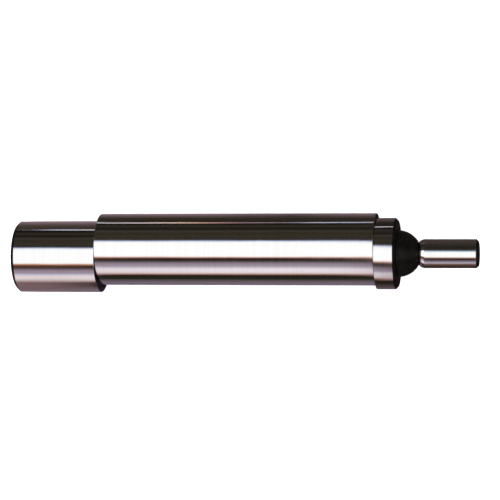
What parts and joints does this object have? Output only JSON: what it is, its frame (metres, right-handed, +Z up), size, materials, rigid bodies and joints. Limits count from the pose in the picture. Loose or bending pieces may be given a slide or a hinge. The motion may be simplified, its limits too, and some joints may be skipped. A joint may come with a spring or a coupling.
{
  "type": "edge finder",
  "caption": "Double-ended edge finder: a ground cylindrical shank, a large plain contact on one end face and a small flanged contact with a necked tip on the other, held by an inner spring.",
  "frame": {"origin": "on the shank's axis, at the middle of the shank's length", "axes": "+X along the shank's axis towards the small contact, +Y across the tool along the cross pins, +Z up"},
  "size_m": [0.0825, 0.014, 0.0126],
  "materials": {
    "ground_steel": "hardened and cylindrically ground",
    "contact_steel": "ground diameters, black oxide where not ground",
    "pin_steel": "ground flush",
    "wire_steel": "bright drawn",
    "washer_steel": "tumbled",
    "spring_steel": "oiled music wire"
  },
  "bodies": {
    "shank": {"shank": "ground_steel", "tension_spring": "spring_steel"},
    "large_washer": {"large_thrust_washer": "washer_steel"},
    "large_eye": {"large_swivel_eye": "wire_steel"},
    "large_contact": {"large_contact": "contact_steel", "large_cross_pin": "pin_steel"},
    "small_washer": {"small_thrust_washer": "washer_steel"},
    "small_eye": {"small_swivel_eye": "wire_steel"},
    "small_contact": {"small_contact": "contact_steel", "small_cross_pin": "pin_steel"}
  },
  "joints": [
    {"name": "large_contact_pull", "type": "slide", "parent": "shank", "child": "large_washer", "axis": [-1, 0, 0], "range_m": [0, 0.006], "stiffness_N_per_m": 2000, "deforming": ["tension_spring"]},
    {"name": "large_contact_orbit", "type": "hinge", "parent": "large_washer", "child": "large_eye", "pos_m": [-0.0188, 0, 0], "axis": [1, 0, 0], "continuous": true},
    {"name": "large_contact_offset", "type": "slide", "parent": "large_eye", "child": "large_contact", "axis": [0, 1, 0], "range_m": [-0.0003, 0.0029]},
    {"name": "small_contact_pull", "type": "slide", "parent": "shank", "child": "small_washer", "axis": [1, 0, 0], "range_m": [0, 0.006], "stiffness_N_per_m": 2000, "deforming": ["tension_spring"]},
    {"name": "small_contact_orbit", "type": "hinge", "parent": "small_washer", "child": "small_eye", "pos_m": [0.0188, 0, 0], "axis": [1, 0, 0], "continuous": true},
    {"name": "small_contact_offset", "type": "slide", "parent": "small_eye", "child": "small_contact", "axis": [0, 1, 0], "range_m": [-0.00085, 0.00235]}
  ]
}
